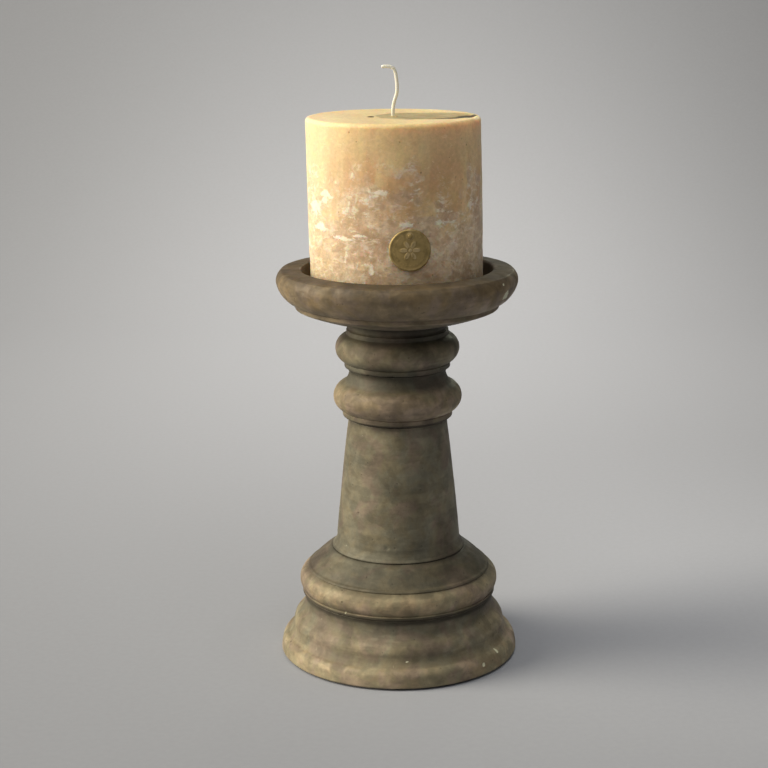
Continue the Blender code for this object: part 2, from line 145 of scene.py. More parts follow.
def finer_outline(points, closed, step, edge_round, shown):
    """The outline at a finer step: smooth through its slight turns, rounded at its corners."""
    count = len(points)

    def turn_at(index):
        if not closed and index in (0, count - 1):
            return pi
        into = points[index] - points[index - 1]
        out = points[(index + 1) % count] - points[index]
        return abs(into.angle_signed(out)) if into.length and out.length else 0.0

    corners = [turn_at(index) > CORNER for index in range(count)]
    fine = []
    for index in range(count if closed else count - 1):
        start, end = points[index], points[(index + 1) % count]
        length = (end - start).length
        along = (end - start) / length
        before = points[index - 1] if index or closed else start
        after = points[(index + 2) % count] if index + 2 < count or closed else end
        leaving = along if corners[index] else (end - before).normalized()
        arriving = along if corners[(index + 1) % count] else (after - start).normalized()
        trims = []
        for at, other in ((index, before), ((index + 1) % count, after)):
            room = min(length, (points[at] - other).length or length) * CORNER_ROOM
            trims.append(min(edge_round, room) if corners[at] else 0.0)
        if not closed and index == 0:
            trims[0] = 0.0
        if not closed and index == count - 2:
            trims[1] = 0.0
        low, high = start + along * trims[0], end - along * trims[1]
        span = (high - low).length
        fine_here = shown(start) and shown(end)
        steps = max(1, math.ceil(span / (step if fine_here else HIDDEN_STEP * step)))
        for number in range(steps + (1 if trims[1] else 0)):
            t = number / steps
            fine.append(
                low * (2 * t**3 - 3 * t**2 + 1)
                + leaving * span * (t**3 - 2 * t**2 + t)
                + high * (3 * t**2 - 2 * t**3)
                + arriving * span * (t**3 - t**2)
            )
        if trims[1]:
            onward = (after - end).normalized()
            room = min(length, (after - end).length) * CORNER_ROOM
            far = end + onward * min(edge_round, room)
            for t in (0.25, 0.5, 0.75):
                fine.append(high * (1 - t) ** 2 + end * 2 * t * (1 - t) + far * t**2)
    if not closed:
        fine.append(points[-1])
    return fine


def outline_normals(points, closed):
    """The unit vector out of the solid at each point of the outline."""
    ahead = np.roll(points, -1, axis=0)
    behind = np.roll(points, 1, axis=0)
    if not closed:
        ahead[-1], behind[0] = points[-1], points[0]
    tangent = ahead - behind
    normals = np.stack([tangent[:, 1], -tangent[:, 0]], axis=1)
    return normals / np.maximum(np.linalg.norm(normals, axis=1, keepdims=True), 1e-9)


def turning(node, sides, step, edge_round, shown=lambda point: True):
    """What to turn for a CAD node: its fine outline, the normals, and whether it is closed."""
    points, closed = cut_outline(node, sides)
    fine = finer_outline(points, closed, step, edge_round, shown)
    fine = np.array([tuple(point) for point in fine])
    return fine, outline_normals(fine, closed), closed


def blurred(points, spread, step):
    """Points moved towards their neighbours' mean until they are smooth over that spread."""
    smooth = points.copy()
    for _ in range(int(2 * (spread / step) ** 2)):
        smooth[1:-1] = smooth[1:-1] / 2 + (smooth[:-2] + smooth[2:]) / 4
    return smooth


# ---- meshes

def added(name, data):
    """A new object in the scene."""
    obj = bpy.data.objects.new(name, data)
    bpy.context.scene.collection.objects.link(obj)
    return obj


def linked(mesh, material, body, node):
    """A finished piece: smooth, with its material, on its body, in place of its CAD node."""
    mesh.shade_smooth()
    mesh.materials.append(material)
    piece = added(mesh.name, mesh)
    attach(piece, body)
    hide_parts(node)


def grid_mesh(name, rows, closed_rows, wrap=True):
    """Quads over rows of points, with a fan over a row that has a single point."""
    verts, index, faces = [], [], []
    for row in rows:
        index.append(range(len(verts), len(verts) + len(row)))
        verts.extend(row)
    pairs = list(zip(index, index[1:])) + ([(index[-1], index[0])] if closed_rows else [])
    for low, high in pairs:
        size = max(len(low), len(high))
        for at in range(size if wrap else size - 1):
            following = (at + 1) % size
            face = [low[at % len(low)], low[following % len(low)],
                    high[following % len(high)], high[at % len(high)]]
            faces.append(list(dict.fromkeys(face)))
    mesh = bpy.data.meshes.new(name)
    mesh.from_pydata([tuple(vert) for vert in verts], [], faces)
    mesh.validate()
    return mesh


def lathe(name, outline, closed, sides, place=None):
    """The outline turned round Z. place(angle, at) gives a vertex's (radius, height), if set."""
    rows = []
    for at, point in enumerate(outline):
        if point[0] < 1e-6:
            rows.append([(0.0, 0.0, point[1])])
            continue
        row = []
        for side in range(sides):
            angle = 2 * pi * side / sides
            radius, height = place(angle, at) if place else point
            row.append(turned(radius, angle, height))
        rows.append(row)
    return grid_mesh(name, rows, closed)


def set_values(mesh, **named):
    """One number per vertex under each name, for the material to read."""
    for name, values in named.items():
        layer = mesh.attributes.new(name, "FLOAT", "POINT")
        layer.data.foreach_set("value", np.asarray(values, np.float32))


def tube(path, radius_at, sides):
    """Rows of points round a path, carried along it without twist."""
    rows = []
    side = Vector((0, 1, 0))
    for at, point in enumerate(path):
        ahead = path[min(at + 1, len(path) - 1)] - path[max(at - 1, 0)]
        ahead.normalize()
        side = (side - ahead * side.dot(ahead)).normalized()
        other = ahead.cross(side)
        radius = radius_at(at / (len(path) - 1))
        turns = [2 * pi * number / sides for number in range(sides)]
        rows.append([point + (side * cos(a) + other * sin(a)) * radius for a in turns])
    return [[path[0]], *rows, [path[-1]]]


def smooth_path(points, steps):
    """A smooth curve through the points."""
    ends = [points[0] * 2 - points[1], *points, points[-1] * 2 - points[-2]]
    path = []
    for before, start, end, after in zip(ends, ends[1:], ends[2:], ends[3:]):
        for step in range(steps):
            t = step / steps
            path.append(
                0.5 * (2 * start + (end - before) * t
                       + (2 * before - 5 * start + 4 * end - after) * t**2
                       + (3 * start - before - 3 * end + after) * t**3)
            )
    return path + [points[-1]]


def ripple(point, size, seed):
    """Smooth noise from -1 to 1 with features of about that size."""
    return noise.noise(Vector(point) / size + Vector((seed * 17.3, seed * 5.1, seed * 9.7)))


def turned(radius, angle, height):
    return radius * cos(angle), radius * sin(angle), height


def eased(value, low, high):
    """0 below low, 1 above high, and smooth between them."""
    t = min(max((value - low) / (high - low), 0.0), 1.0)
    return t * t * (3 - 2 * t)


def leaned(point):
    """A point on the candle, moved with the candle's lean."""
    return Vector((point[0] + (point[2] - CANDLE_BASE) * CANDLE_LEAN, point[1], point[2]))


def lean(mesh):
    for vert in mesh.vertices:
        vert.co = leaned(vert.co)


# ---- materials

class Finish:
    """A Principled material whose node graph is built by short calls."""

    def __init__(self, name):
        self.material = bpy.data.materials.new(name)
        self.material.use_nodes = True
        self.tree = self.material.node_tree
        self.shader = self.tree.nodes["Principled BSDF"]
        self.coords = self.node("ShaderNodeTexCoord").outputs["Object"]

    def node(self, kind, inputs=(), **settings):
        made = self.tree.nodes.new(kind)
        for key, value in settings.items():
            setattr(made, key, value)
        for key, value in dict(inputs).items():
            self.plug(made.inputs[key], value)
        return made

    def plug(self, socket, value):
        if isinstance(value, bpy.types.NodeSocket):
            self.tree.links.new(value, socket)
        elif value is not None:
            if socket.type == "RGBA" and len(value) == 3:
                value = (*value, 1.0)
            socket.default_value = value

    def set(self, **values):
        for key, value in values.items():
            self.plug(self.shader.inputs[key.replace("_", " ")], value)

    def noise(self, size, detail=4.0, rough=0.55, bend=0.0, stretch=None, seed=0.0):
        """Noise from 0 to 1 with features of about that size in metres."""
        source = self.coords
        if stretch:
            scaled = self.node("ShaderNodeVectorMath", {0: source, 1: stretch}, operation="MULTIPLY")
            source = scaled.outputs[0]
        moved = self.node("ShaderNodeVectorMath", {0: source, 1: (seed, seed * 0.7, seed * 1.3)})
        return self.node(
            "ShaderNodeTexNoise",
            {"Vector": moved.outputs[0], "Scale": 1 / size, "Detail": detail,
             "Roughness": rough, "Distortion": bend},
        ).outputs[0]

    def cells(self, size):
        """How far it is to the middle of the nearest of scattered cells of about that size."""
        found = self.node("ShaderNodeTexVoronoi", {"Vector": self.coords, "Scale": 1 / size})
        return found.outputs["Distance"]

    def attribute(self, name):
        return self.node("ShaderNodeAttribute", attribute_name=name).outputs["Fac"]

    def height(self):
        return self.node("ShaderNodeSeparateXYZ", {0: self.coords}).outputs[2]

    def math(self, operation, first, second=None, clamp=False):
        return self.node(
            "ShaderNodeMath", {0: first, 1: second}, operation=operation, use_clamp=clamp
        ).outputs[0]

    def times(self, first, second):
        return self.math("MULTIPLY", first, second)

    def step(self, value, low, high, out_low=0.0, out_high=1.0):
        """value eased from out_low at low to out_high at high."""
        return self.node(
            "ShaderNodeMapRange",
            {0: value, 1: low, 2: high, 3: out_low, 4: out_high},
            interpolation_type="SMOOTHSTEP",
        ).outputs[0]

    def spread(self, noise, out_low, out_high):
        """A noise eased from out_low to out_high over most of its range."""
        return self.step(noise, 0.3, 0.7, out_low, out_high)

    def mix(self, share, first, second, blend="MIX"):
        return self.node(
            "ShaderNodeMix", {0: share, 6: first, 7: second}, data_type="RGBA", blend_type=blend
        ).outputs[2]

    def shaded(self, colour, light):
        """The colour times a grey of that lightness."""
        grey = self.node("ShaderNodeCombineColor", {0: light, 1: light, 2: light}).outputs[0]
        return self.mix(1.0, colour, grey, "MULTIPLY")

    def bumps(self, *layers):
        """The surface's normal under layers of (height, distance in metres, strength)."""
        normal = None
        for height, distance, strength in layers:
            inputs = {"Height": height, "Distance": distance, "Strength": strength}
            normal = self.node("ShaderNodeBump", {**inputs, "Normal": normal}).outputs[0]
        return normal


def wash_finish(name):
    """Turned wood under an aged wash: mottled slate, olive, tan and brown, with grooves darkened by
    grime and painted shade.
    """
    f = Finish(name)
    slate, olive = (0.2, 0.188, 0.138), (0.2, 0.172, 0.11)
    tan, brown = (0.2, 0.154, 0.096), (0.2, 0.143, 0.076)
    rose, grime_and_shade = (0.205, 0.157, 0.12), (0.022, 0.018, 0.012)
    chipped = (0.72, 0.72, 0.54)
    broad = f.noise(0.026, 4, 0.55, 0.5, seed=1.0)
    patch = f.noise(0.017, 5, 0.6, 0.9, seed=11.0)
    middle = f.noise(0.0085, 4, 0.55, 0.4, seed=3.0)
    fine = f.noise(0.0026, 5, 0.6, seed=7.0)
    relief = f.attribute("relief")
    worn = f.step(f.math("ADD", relief, f.spread(middle, -0.4, 0.4)), 0.2, 1.3)
    # Hue: from slate through olive and tan to brown, with rosy patches
    hue = f.math("ADD", f.attribute("hue"), f.step(patch, 0.32, 0.68, -0.17, 0.17))
    hue = f.math("ADD", hue, f.step(middle, 0.35, 0.65, -0.05, 0.05))
    colour = f.mix(f.step(hue, 0.05, 0.45), slate, olive)
    colour = f.mix(f.step(hue, 0.4, 0.72), colour, tan)
    colour = f.mix(f.step(hue, 0.75, 1.1), colour, brown)
    rosy = f.noise(0.02, 4, 0.6, 0.9, seed=41.0)
    colour = f.mix(f.step(rosy, 0.46, 0.62, 0.0, 0.75), colour, rose)
    # How light the wash is, with painted shade set by height in the wash table
    light = f.times(f.attribute("light"), f.spread(broad, 0.77, 1.24))
    light = f.times(light, f.step(middle, 0.32, 0.68, 0.92, 1.08))
    daub = f.noise(0.012, 3, 0.5, 0.5, stretch=(1, 1, 1.4), seed=27.0)
    light = f.times(light, f.step(daub, 0.43, 0.57, 0.89, 1.09))
    rings = f.noise(0.0024, 3, 0.55, 0.3, stretch=(0.1, 0.1, 1.0), seed=17.0)
    rings = f.math("ADD", rings, f.step(daub, 0.35, 0.65, -0.08, 0.08))
    light = f.times(light, f.step(rings, 0.36, 0.6, 0.92, 1.03))
    light = f.times(light, f.spread(fine, 0.93, 1.07))
    light = f.times(light, f.math("ADD", 1.0, f.times(worn, 0.3)))
    colour = f.shaded(colour, light)
    # Grime and painted shade in the grooves and seams, and dark pores
    sunk = f.math("SUBTRACT", f.spread(middle, -0.22, 0.22), relief)
    dirt_and_groove_shade = f.times(f.step(sunk, 0.25, 1.3), f.step(broad, 0.25, 0.6, 0.5, 0.75))
    colour = f.mix(dirt_and_groove_shade, colour, grime_and_shade)
    seams = f.attribute("seam")
    colour = f.mix(f.times(seams, f.step(patch, 0.35, 0.65, 0.25, 0.7)), colour, grime_and_shade)
    pores = f.step(f.cells(0.0046), 0.08, 0.2, 1.0, 0.0)
    pores = f.times(pores, f.step(fine, 0.5, 0.62))
    colour = f.mix(f.times(pores, 0.45), colour, grime_and_shade)
    chips = f.step(f.attribute("chip"), 0.25, 0.6)
    colour = f.mix(f.times(chips, 0.85), colour, chipped)
    # Sheen and surface
    rough = f.spread(middle, 0.72, 0.58)
    rough = f.math("SUBTRACT", rough, f.times(worn, 0.1))
    rough = f.math("ADD", rough, f.times(dirt_and_groove_shade, 0.18), clamp=True)
    tool_marks = f.noise(0.0013, 2, 0.5, stretch=(0.05, 0.05, 1.0), seed=5.0)
    surface = f.bumps(
        (middle, 0.0006, 0.5), (fine, 0.00026, 0.55), (tool_marks, 0.00008, 0.45),
        (f.noise(0.0007, 3, 0.6), 0.00008, 0.5), (f.math("SUBTRACT", 1.0, pores), 0.0003, 0.6),
    )
    f.set(Base_Color=colour, Roughness=rough, Normal=surface, Specular_IOR_Level=0.36)
    return f.material


CREAM = (0.9, 0.74, 0.48)


def upper_wax(f, height, broad, cloud):
    """The smooth upper part: amber and rosy, with streaks, tea patches and painted light on its lit
    side.
    """
    amber, rosy = (0.87, 0.67, 0.37), (0.7, 0.45, 0.25)
    olive, tea = (0.79, 0.65, 0.37), (0.64, 0.425, 0.205)
    colour = f.mix(f.step(broad, 0.38, 0.64), amber, rosy)
    streak = f.noise(0.0055, 3, 0.5, 0.2, stretch=(1, 1, 0.14), seed=4.0)
    colour = f.mix(f.step(streak, 0.48, 0.74, 0.0, 0.55), colour, olive)
    colour = f.mix(f.times(f.step(cloud, 0.48, 0.66), 0.55), colour, tea)
    shoulder = f.step(height, CANDLE_TOP - 0.03, CANDLE_TOP - 0.004)
    colour = f.mix(f.times(shoulder, 0.62), colour, olive)
    # Painted light: the wax is paler on its lit side.
    colour = f.mix(f.times(f.attribute("faded"), 0.85), colour, CREAM)
    dots = f.step(f.noise(0.003, 4, 0.65, 0.6, stretch=(0.8, 0.8, 1.6), seed=31.0), 0.62, 0.68)
    return f.mix(f.times(dots, 0.6), colour, CREAM)


def lower_wax(f, cloud):
    """The lower part's ground: blush and mauve with tan stains, and painted light on its lit side."""
    mauve, blush, stained = (0.61, 0.44, 0.31), (0.83, 0.66, 0.475), (0.54, 0.38, 0.24)
    pale = f.mix(f.step(cloud, 0.38, 0.62), blush, mauve)
    stain = f.step(f.noise(0.009, 4, 0.6, 0.9, seed=29.0), 0.5, 0.62)
    pale = f.mix(f.times(stain, 0.6), pale, stained)
    # Painted light: the wax is paler on its lit side.
    return f.mix(f.times(f.attribute("faded"), 0.4), pale, CREAM)


def scratches_in(f):
    """Curved scratches at three sizes: noise size, seed, width and stretch."""
    scratches = None
    for size, seed, width, stretch in (
        (0.013, 41.0, 0.055, (1, 1, 1.5)),
        (0.018, 47.0, 0.045, (1, 1, 3.2)),
        (0.011, 53.0, 0.05, (1, 1, 0.8)),
    ):
        wave = f.noise(size, 3, 0.5, 0.8, stretch=stretch, seed=seed)
        line = f.math("ABSOLUTE", f.math("SUBTRACT", wave, 0.5))
        line = f.step(line, 0.0, width, 1.0, 0.0)
        gate = f.step(f.noise(0.008, 2, 0.5, seed=seed + 2), 0.54, 0.66)
        line = f.times(line, gate)
        scratches = line if scratches is None else f.math("MAXIMUM", scratches, line)
    return scratches


def wax_finish():
    """Mottled rustic wax: amber above, and pale, crystalline and scuffed below."""
    f = Finish("rustic_wax")
    height = f.height()
    broad = f.noise(0.024, 4, 0.55, 0.6, stretch=(1, 1, 0.6), seed=2.0)
    cloud = f.noise(0.015, 4, 0.55, 0.6, stretch=(1, 1, 0.75), seed=22.0)
    middle = f.noise(0.0075, 5, 0.6, 0.5, seed=5.0)
    fine = f.noise(0.002, 5, 0.62, 0.3, seed=8.0)
    waver = f.step(f.noise(0.02, 5, 0.62, 0.6, seed=9.0), 0.3, 0.7, -0.022, 0.022)
    level = f.math("ADD", height, waver)
    low = f.step(level, CANDLE_BASE + 0.04, CANDLE_BASE + 0.068, 1.0, 0.0)
    colour = f.mix(f.times(low, 0.85), upper_wax(f, height, broad, cloud), lower_wax(f, cloud))
    # Frost: flakes in a band, bold curved scratches and a few bright places
    frost, flaked = (1.0, 0.93, 0.8), (0.43, 0.29, 0.185)
    above = f.step(level, CANDLE_BASE + 0.05, CANDLE_BASE + 0.078, 1.0, 0.04)
    below = f.step(level, CANDLE_BASE + 0.022, CANDLE_BASE + 0.042, 0.45, 1.0)
    crumb = f.noise(0.006, 6, 0.68, 0.5, stretch=(1, 1, 1.6), seed=12.0)
    where = f.step(f.noise(0.018, 3, 0.55, 0.6, seed=15.0), 0.38, 0.52)
    flakes = f.times(f.times(f.step(crumb, 0.5, 0.6), where), f.times(above, below))
    dark_flakes = f.times(f.times(f.step(crumb, 0.47, 0.4), low), 0.35)
    colour = f.mix(dark_flakes, colour, flaked)
    marks = f.math("MAXIMUM", flakes, f.times(scratches_in(f), f.times(above, 0.55)))
    spots = f.math("ADD", f.attribute("frost"), f.step(crumb, 0.36, 0.64, -0.4, 0.4))
    marks = f.math("MAXIMUM", marks, f.step(spots, 0.35, 0.8))
    colour = f.mix(f.times(marks, 0.8), colour, frost)
    # Small dark pits, and painted shade towards the base, under the dish's rim
    pit = f.times(f.step(f.cells(0.005), 0.06, 0.17, 1.0, 0.0), f.step(fine, 0.5, 0.58))
    colour = f.mix(f.times(pit, 0.55), colour, (0.2, 0.12, 0.055))
    painted_base_shade = f.step(height, CANDLE_BASE + 0.003, CANDLE_BASE + 0.03, 0.68, 1.0)
    shade = f.times(painted_base_shade, f.step(fine, 0.3, 0.72, 0.91, 1.07))
    colour = f.shaded(colour, shade)
    # The sunken pool in the top, darker melted wax with painted shade, and painted shadow in its crack
    # and the pit
    pool = f.times(f.attribute("pool"), f.spread(middle, 0.68, 0.92))
    melted_wax_and_shade = f.mix(f.step(cloud, 0.35, 0.65), (0.26, 0.215, 0.11), (0.36, 0.29, 0.15))
    colour = f.mix(pool, colour, melted_wax_and_shade)
    colour = f.mix(f.step(f.attribute("crack"), 0.15, 0.95), colour, (0.055, 0.04, 0.02))
    rough = f.spread(middle, 0.42, 0.56)
    rough = f.math("ADD", rough, f.times(marks, 0.22), clamp=True)
    surface = f.bumps(
        (broad, 0.0016, 0.3), (middle, 0.0007, f.step(low, 0.0, 1.0, 0.25, 0.8)),
        (fine, 0.00022, 0.5), (marks, 0.0003, 0.85), (f.math("SUBTRACT", 1.0, pit), 0.0005, 0.7),
    )
    f.set(
        Base_Color=colour, Roughness=rough, Normal=surface, Specular_IOR_Level=0.42,
        Subsurface_Weight=0.8, Subsurface_Radius=(1.0, 0.5, 0.22), Subsurface_Scale=0.012,
    )
    return f.material


def wick_finish():
    """Pale cotton braid, a little darker where the wax has soaked it."""
    f = Finish("waxed_braid")
    fibre = f.noise(0.0005, 4, 0.6, stretch=(1, 1, 0.35))
    soaked = f.step(f.height(), CANDLE_TOP, CANDLE_TOP + 0.006, 1.0, 0.0)
    cotton = f.mix(f.step(fibre, 0.3, 0.7), (0.96, 0.92, 0.74), (1.0, 0.99, 0.9))
    colour = f.mix(f.times(soaked, 0.6), cotton, (0.95, 0.9, 0.68))
    rough = f.spread(fibre, 0.62, 0.82)
    f.set(Base_Color=colour, Roughness=rough, Normal=f.bumps((fibre, 0.0001, 0.7)),
          Subsurface_Weight=0.5, Subsurface_Radius=(1.0, 0.85, 0.6), Subsurface_Scale=0.0006)
    return f.material


def brass_finish():
    """Dark aged brass, brighter where the relief is rubbed."""
    f = Finish("dark_brass")
    cloud = f.noise(0.004, 5, 0.6, 0.4)
    fine = f.noise(0.0009, 4, 0.6)
    raised = f.attribute("raised")
    rubbed = f.step(f.math("ADD", raised, f.spread(cloud, -0.25, 0.25)), 0.35, 0.95)
    patina = f.mix(f.step(cloud, 0.35, 0.65), (0.31, 0.225, 0.085), (0.43, 0.31, 0.125))
    colour = f.mix(rubbed, patina, (0.56, 0.43, 0.23))
    rough = f.math("ADD", f.spread(fine, 0.38, 0.54), f.times(rubbed, -0.1))
    surface = f.bumps((cloud, 0.00012, 0.5), (fine, 0.00005, 0.5))
    f.set(Base_Color=colour, Roughness=rough, Metallic=0.4, Normal=surface)
    return f.material


def steel_finish(name, bright, dark, rough_low, rough_high):
    """Dull plated or blackened steel with faint turning lines and spots."""
    f = Finish(name)
    lines = f.noise(0.0006, 3, 0.5, stretch=(0.2, 0.2, 1.0))
    cloud = f.noise(0.005, 5, 0.6, 0.3)
    spots = f.step(f.noise(0.0018, 4, 0.7, seed=3.0), 0.6, 0.7)
    colour = f.mix(f.step(cloud, 0.3, 0.7), dark, bright)
    colour = f.mix(f.times(spots, 0.5), colour, (0.1, 0.065, 0.035))
    rough = f.math("ADD", f.spread(cloud, rough_low, rough_high),
                   f.times(spots, 0.2), clamp=True)
    surface = f.bumps((lines, 0.00004, 0.6), (spots, 0.00003, 0.5))
    f.set(Base_Color=colour, Roughness=rough, Metallic=1.0, Normal=surface)
    return f.material


def felt_finish():
    """Dark pressed felt, mottled by tufts and fibre."""
    f = Finish("pressed_felt")
    fibre = f.noise(0.0012, 6, 0.75, 2.5)
    tuft = f.noise(0.006, 4, 0.6, 0.8, seed=4.0)
    colour = f.mix(f.step(fibre, 0.3, 0.7), (0.02, 0.024, 0.02), (0.06, 0.066, 0.056))
    colour = f.mix(f.step(tuft, 0.4, 0.7, 0.0, 0.35), colour, (0.085, 0.082, 0.07))
    f.set(Base_Color=colour, Roughness=f.spread(tuft, 0.88, 0.97),
          Normal=f.bumps((fibre, 0.0004, 0.9)))
    f.shader.inputs["Sheen Weight"].default_value = 0.5
    f.shader.inputs["Sheen Roughness"].default_value = 0.5
    return f.material


# ---- the turned blocks

# Marks on the wood: block, angle round the axis, height, size, depth and how pale it is inside.
MARKS = (
    ("dish", -27, 222.5, 3.3, 1.0, 1.0),
    ("dish", -31, 229.5, 0.9, 0.3, 0.7),
    ("dish", -139, 227.0, 2.2, 0.4, 0.3),
    ("foot", -45, 7.3, 1.3, 0.6, 1.0),
    ("foot", -32, 10.6, 1.1, 0.5, 0.9),
    ("foot", -86, 15.0, 0.7, 0.3, 0.8),
    ("foot", -148, 11.5, 4.5, 0.8, 0.1),
    ("foot", -128, 9.0, 2.6, 0.5, 0.1),
    ("base_ring", -122, 39.2, 1.0, 0.3, 0.5),
)
WOOD_RIPPLES = ((17.0, 0.1), (6.0, 0.07), (2.2, 0.035))   # size and height in mm
OUT_OF_ROUND = 0.12 * MM
SEAM_REACH = 2.6 * MM
# The wash up the stack: height in mm, how light it is, and its hue from slate (0) to brown (1). Its
# lightness is partly painted shade: darker under the dish, in the grooves and joins, and on the dish's
# rim top.
WASH_AND_PAINTED_SHADE = (
    (1.0, 1.22, 0.5), (11.0, 1.12, 0.48), (15.0, 0.9, 0.36), (20.0, 1.02, 0.34),
    (26.0, 0.92, 0.32), (35.0, 0.6, 0.24), (39.0, 0.78, 0.42), (42.5, 1.18, 0.6),
    (50.0, 1.2, 0.52), (53.5, 0.46, 0.36), (62.0, 0.42, 0.28), (66.0, 0.46, 0.16),
    (70.0, 0.64, 0.2), (78.0, 0.74, 0.26), (140.0, 0.84, 0.3), (146.5, 0.74, 0.35),
    (152.0, 1.3, 0.66), (163.0, 1.08, 0.6), (168.0, 0.48, 0.16), (175.0, 0.44, 0.1),
    (179.0, 0.64, 0.3), (183.0, 1.02, 0.5), (191.0, 0.76, 0.46), (195.0, 0.42, 0.22),
    (203.0, 0.45, 0.3), (211.0, 0.92, 0.6), (222.0, 1.02, 0.85), (228.0, 0.62, 0.95),
    (234.0, 0.35, 0.95),
)


def block_outlines():
    """Each block's fine outline, with its normals and how far each point stands out."""
    outlines = {}
    for block in BLOCKS:
        narrow = BLOCKS[block][2]
        fine, normals, _ = turning(block, CAD_SIDES, OUTLINE_STEP, EDGE_ROUND,
                                   lambda point, narrow=narrow: point.x > narrow)
        outlines[block] = {"points": fine, "normals": normals, "shown": fine[:, 0] > narrow}
    whole, normals = (
        np.concatenate([entry[key][entry["shown"]] for entry in outlines.values()])
        for key in ("points", "normals")
    )
    even = blurred(whole, 3.2 * MM, OUTLINE_STEP)
    relief = ((whole - even) * normals).sum(axis=1) / MM
    start = 0
    for entry in outlines.values():
        count = int(entry["shown"].sum())
        entry["relief"] = np.zeros(len(entry["points"]))
        entry["relief"][entry["shown"]] = relief[start:start + count]
        start += count
    return outlines


def marks_of(block, entry):
    """The block's own marks and its seeded small nicks, as radians and metres."""
    marks = [(radians(angle), height * MM, size * MM, depth * MM, pale)
             for name, angle, height, size, depth, pale in MARKS if name == block]
    dice = random.Random("nicks of " + block)
    shown = np.flatnonzero(entry["shown"])
    for _ in range(BLOCKS[block][1]):
        at = shown[int(dice.random() * len(shown))]
        size = dice.uniform(0.5, 1.5) * MM
        marks.append((
            dice.uniform(-pi, pi), entry["points"][at, 1], size,
            size * dice.uniform(0.15, 0.35), dice.choice((0.0, 0.0, 0.0, 0.1, 0.35)),
        ))
    return marks


def make_block(block, entry, seed, material):
    """The block turned again, with small waves, its marks and what its wash reads."""
    points, normals, shown = entry["points"], entry["normals"], entry["shown"]
    seen = points[shown]
    low, high = seen[:, 1].min(), seen[:, 1].max()
    marks = marks_of(block, entry)
    chip, seam = [], []
    seam_below, seam_above = block != "foot", block != "dish"
    phase = seed * 1.7
    outside = 0.82 * seen[:, 0].max() if block == "dish" else 0.0   # no marks in the dish's recess

    def place(angle, at):
        radius, height = points[at]
        near_low, near_high = height - low, high - height
        gap = min(near_low if seam_below else 1.0, near_high if seam_above else 1.0)
        # Darkening near the block's ends, where it meets the next block: grime and painted shade at
        # the join
        seam.append(max(0.0, 1 - gap / SEAM_REACH) ** 2 if shown[at] else 0.0)
        if not shown[at]:
            chip.append(0.0)
            return radius, height
        spot = turned(radius, angle, height)
        out = OUT_OF_ROUND * sin(2 * angle + phase + height * 20)
        for number, (size, tall) in enumerate(WOOD_RIPPLES):
            out += tall * MM * ripple(spot, size * MM, seed + number)
        out *= eased(min(near_low, near_high), 0.0, 1.4 * MM)
        pale = 0.0
        for turn, level, size, depth, paleness in marks:
            if radius < outside or abs(height - level) > size * 1.5:
                continue
            across = (angle - turn + pi) % (2 * pi) - pi
            far = hypot(across * radius, height - level) / size
            far *= 1 + 0.45 * ripple(spot, 1.1 * MM, seed + 3)
            if far < 1:
                sunk = (1 - far * far) ** 1.5
                out -= depth * sunk
                pale = max(pale, paleness * eased(sunk, 0.05, 0.5))
        chip.append(pale)
        return radius + normals[at, 0] * out, height + normals[at, 1] * out

    mesh = lathe(block + "_turned", points, True, BLOCK_SIDES, place)
    heights = [vert.co.z / MM for vert in mesh.vertices]
    stops, lightness, hues = zip(*WASH_AND_PAINTED_SHADE)
    set_values(
        mesh, relief=np.repeat(entry["relief"], BLOCK_SIDES), chip=chip, seam=seam,
        light=np.interp(heights, stops, lightness), hue=np.interp(heights, stops, hues),
    )
    linked(mesh, material, "holder", block)


# ---- the candle

POOL_CENTRE = Vector((0.019, 0.004))   # the sunken patch in the candle's top, in metres
POOL_SIZE = Vector((0.03, 0.023))
POOL_DEPTH = 0.3 * MM
# The crack along the patch's front edge, and the small pit beside the patch.
CRACK = ((0.008, -0.014), (0.022, -0.0155), (0.034, -0.011), (0.042, -0.0035), (0.0455, 0.004))
CRACK_WIDTH = 9.0 * MM
CRACK_DEPTH = 0.45 * MM
PIT_AT = Vector((-0.0126, 0.001))
PIT_SIZE = Vector((0.0025, 0.0062))
PIT_DEPTH = 0.9 * MM
SPIKE_HOLE = 31 * MM      # how far the hole for the spike goes up
PAINTED_LIT_SIDE = (-168, 62)        # the candle's side with painted light on it: its middle and half width in degrees
# Frosted places on the side: angle round the axis, height, half width and half height in mm.
FROST = (
    (-147, 261.5, 8.0, 2.6), (-152, 272.0, 7.0, 6.0), (-141, 279.0, 6.0, 4.0),
    (-99, 283.5, 3.2, 1.8), (-83, 265.6, 4.6, 2.2), (-128, 257.0, 10.0, 1.2),
    (-112, 259.0, 9.0, 1.0), (-55, 266.0, 8.0, 1.4), (-106, 240.0, 1.3, 4.5),
    (-124, 246.0, 1.2, 4.0), (40, 262.0, 9.0, 3.0), (110, 270.0, 8.0, 4.0), (175, 264.0, 7.0, 3.0),
)


def from_crack(x, y):
    """How far a place on the top is from the crack, and how far along it, from 0 to 1."""
    best, where = 1.0, 0.0
    spot = Vector((x, y))
    for number, (start, end) in enumerate(zip(CRACK, CRACK[1:])):
        start, end = Vector(start), Vector(end)
        along = end - start
        share = min(max((spot - start).dot(along) / along.length_squared, 0.0), 1.0)
        far = (start + along * share - spot).length
        if far < best:
            best, where = far, (number + share) / (len(CRACK) - 1)
    return best, where


